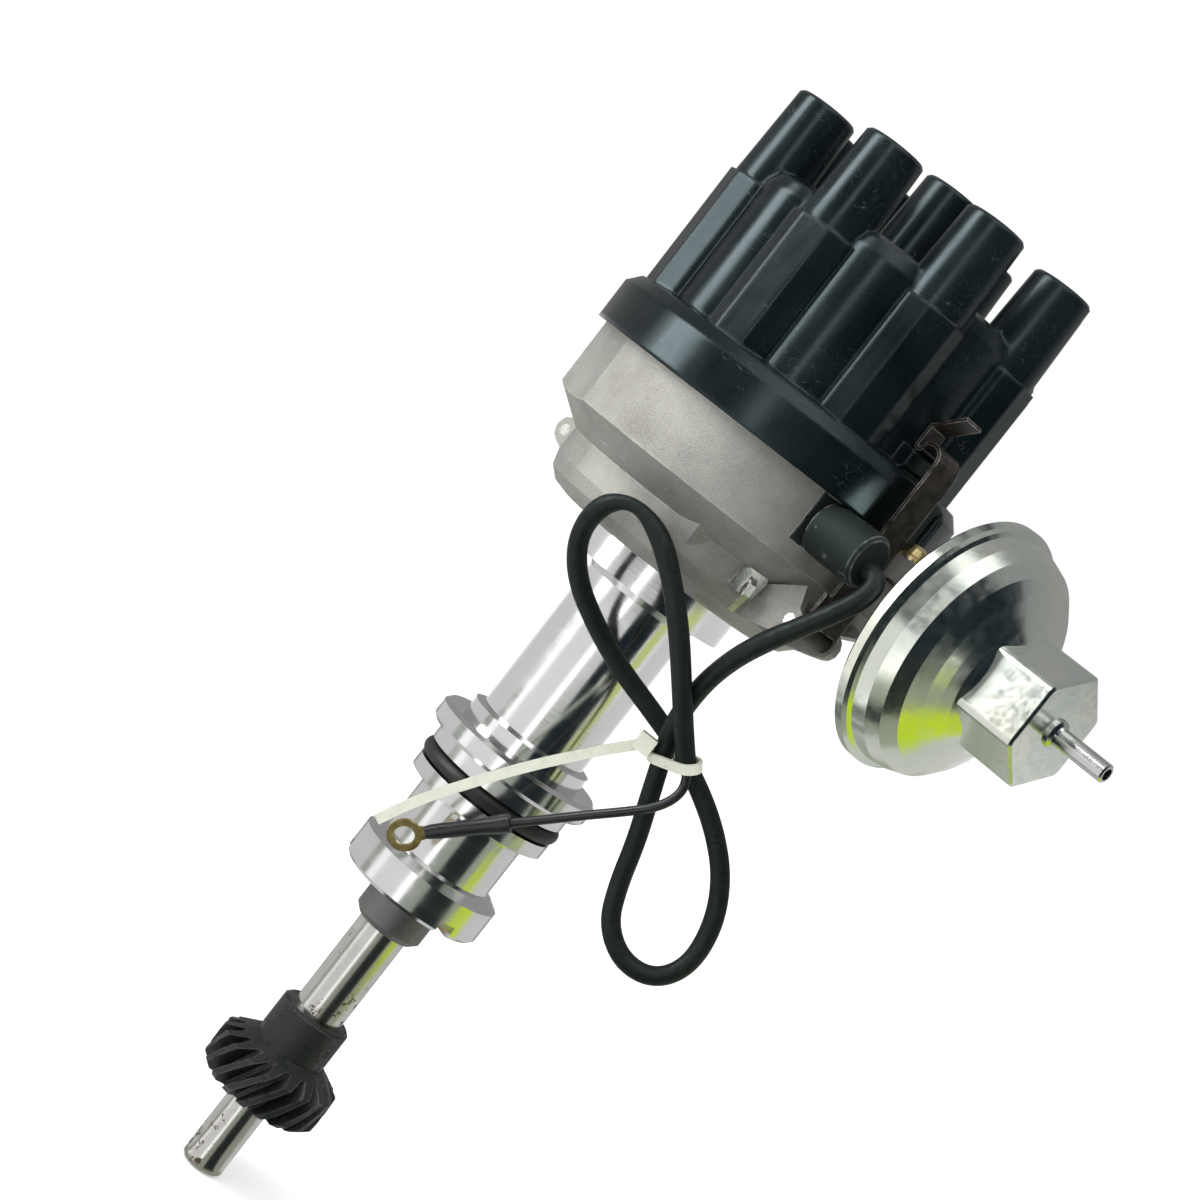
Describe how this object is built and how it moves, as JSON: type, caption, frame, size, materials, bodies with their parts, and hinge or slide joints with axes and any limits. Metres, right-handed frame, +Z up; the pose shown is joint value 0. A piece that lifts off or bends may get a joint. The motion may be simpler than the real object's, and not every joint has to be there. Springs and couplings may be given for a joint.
{
  "type": "ignition distributor",
  "caption": "Engine ignition distributor with geared shaft, clamp collar, cast bowl, clipped cap with ring of towers, vacuum advance canister and tied lead.",
  "frame": {"origin": "on the shaft axis at the underside of the clamp collar, where the distributor sits on the block", "axes": "+Z up the shaft from the drive gear to the cap; +X along the axis of the vacuum canister, away from the bowl"},
  "size_m": [0.176, 0.101, 0.3051],
  "materials": {
    "cast_aluminium": "bead-blasted casting with turned lands",
    "bracket_casting": "rough casting",
    "bronze": "sintered",
    "ring_rubber": "smooth",
    "grommet_rubber": "dusty",
    "pin_steel": "plain",
    "plated_steel": "zinc plated",
    "zinc_plate": "bright zinc",
    "spring_wire": "plain",
    "yellow_zinc": "yellow zinc",
    "tab_metal": "bright sheet",
    "cap_plastic": "moulded phenolic, satin",
    "rotor_plastic": "moulded",
    "brass": "plain",
    "carbon": "carbon",
    "loom_sleeve": "matte sleeve",
    "wire_cover": "plain",
    "nylon": "natural nylon",
    "ground_steel": "ground and oiled",
    "gear_iron": "black phosphate",
    "sintered_iron": "sintered",
    "fibre": "phenolic fibre",
    "diaphragm_rubber": "moulded",
    "clip_steel": "dark spring steel"
  },
  "bodies": {
    "housing_body": {"housing": "cast_aluminium", "o_ring": "ring_rubber", "upper_bushing": "bronze", "lower_bushing": "bronze", "clip_pin_a": "pin_steel", "clip_pin_b": "pin_steel", "base_plate": "plated_steel", "base_plate_screws": "plated_steel", "canister_rear_shell": "zinc_plate", "canister_front_shell": "zinc_plate", "vacuum_nipple": "zinc_plate", "canister_spring": "spring_wire", "canister_bracket": "bracket_casting", "bracket_screw": "yellow_zinc", "grommet": "grommet_rubber", "earth_tab": "tab_metal", "distributor_cap": "cap_plastic", "terminal_1": "brass", "terminal_2": "brass", "terminal_3": "brass", "terminal_4": "brass", "terminal_5": "brass", "terminal_6": "brass", "terminal_7": "brass", "terminal_8": "brass", "centre_terminal": "brass", "carbon_brush": "carbon", "brush_spring": "spring_wire", "lead_loom": "loom_sleeve", "lead_wire": "wire_cover", "wire_sleeve": "wire_cover", "ring_terminal": "brass", "cable_tie": "nylon"},
    "shaft_body": {"shaft": "ground_steel", "drive_gear": "gear_iron", "gear_pin": "pin_steel", "thrust_collar": "sintered_iron", "collar_pin": "pin_steel", "thrust_washer": "plated_steel", "governor_plate": "plated_steel", "governor_washer": "plated_steel"},
    "weight_a_body": {"weight_a": "sintered_iron"},
    "weight_b_body": {"weight_b": "sintered_iron"},
    "cam_body": {"breaker_cam": "sintered_iron", "rotor": "rotor_plastic", "rotor_blade": "brass", "rotor_spring": "brass"},
    "plate_body": {"breaker_plate": "plated_steel", "contact_base": "plated_steel", "condenser": "plated_steel"},
    "arm_body": {"breaker_arm": "fibre"},
    "link_body": {"vacuum_link": "plated_steel", "diaphragm": "diaphragm_rubber"},
    "clip_a_body": {"clip_a": "clip_steel"},
    "clip_b_body": {"clip_b": "clip_steel"}
  },
  "joints": [
    {"name": "shaft_spin", "type": "hinge", "parent": "housing_body", "child": "shaft_body", "pos_m": [0, 0, 0], "axis": [0, 0, 1], "continuous": true},
    {"name": "cam_advance", "type": "hinge", "parent": "shaft_body", "child": "cam_body", "pos_m": [0, 0, 0.09], "axis": [0, 0, 1], "range_deg": [0, 12], "stiffness_Nm_per_rad": 0.2},
    {"name": "weight_a_swing", "type": "hinge", "parent": "shaft_body", "child": "weight_a_body", "pos_m": [0.017, 0, 0.0753], "axis": [0, 0, -1], "range_deg": [0, 12]},
    {"name": "weight_b_swing", "type": "hinge", "parent": "shaft_body", "child": "weight_b_body", "pos_m": [-0.017, 0, 0.0753], "axis": [0, 0, -1], "range_deg": [0, 12]},
    {"name": "vacuum_advance", "type": "hinge", "parent": "housing_body", "child": "plate_body", "pos_m": [0, 0, 0.0867], "axis": [0, 0, -1], "range_deg": [0, 9.9], "stiffness_Nm_per_rad": 0.5},
    {"name": "vacuum_slide", "type": "slide", "parent": "housing_body", "child": "link_body", "axis": [1, 0, 0], "range_m": [0, 0.0045]},
    {"name": "contact_swing", "type": "hinge", "parent": "plate_body", "child": "arm_body", "pos_m": [-0.024, -0.015, 0.095], "axis": [0, 0, -1], "range_deg": [0, 3], "stiffness_Nm_per_rad": 1},
    {"name": "clip_a_swing", "type": "hinge", "parent": "housing_body", "child": "clip_a_body", "pos_m": [0.04892, -0.00688, 0.074], "axis": [0.1392, 0.9903, 0], "range_deg": [0, 14]},
    {"name": "clip_b_swing", "type": "hinge", "parent": "housing_body", "child": "clip_b_body", "pos_m": [-0.04892, 0.00688, 0.074], "axis": [-0.1392, -0.9903, 0], "range_deg": [0, 95]}
  ],
  "couplings": [
    {"joint": "weight_a_swing", "follows": "cam_advance", "ratio": 1},
    {"joint": "weight_b_swing", "follows": "cam_advance", "ratio": 1},
    {"joint": "vacuum_slide", "follows": "vacuum_advance", "m_per_rad": 0.02586}
  ]
}
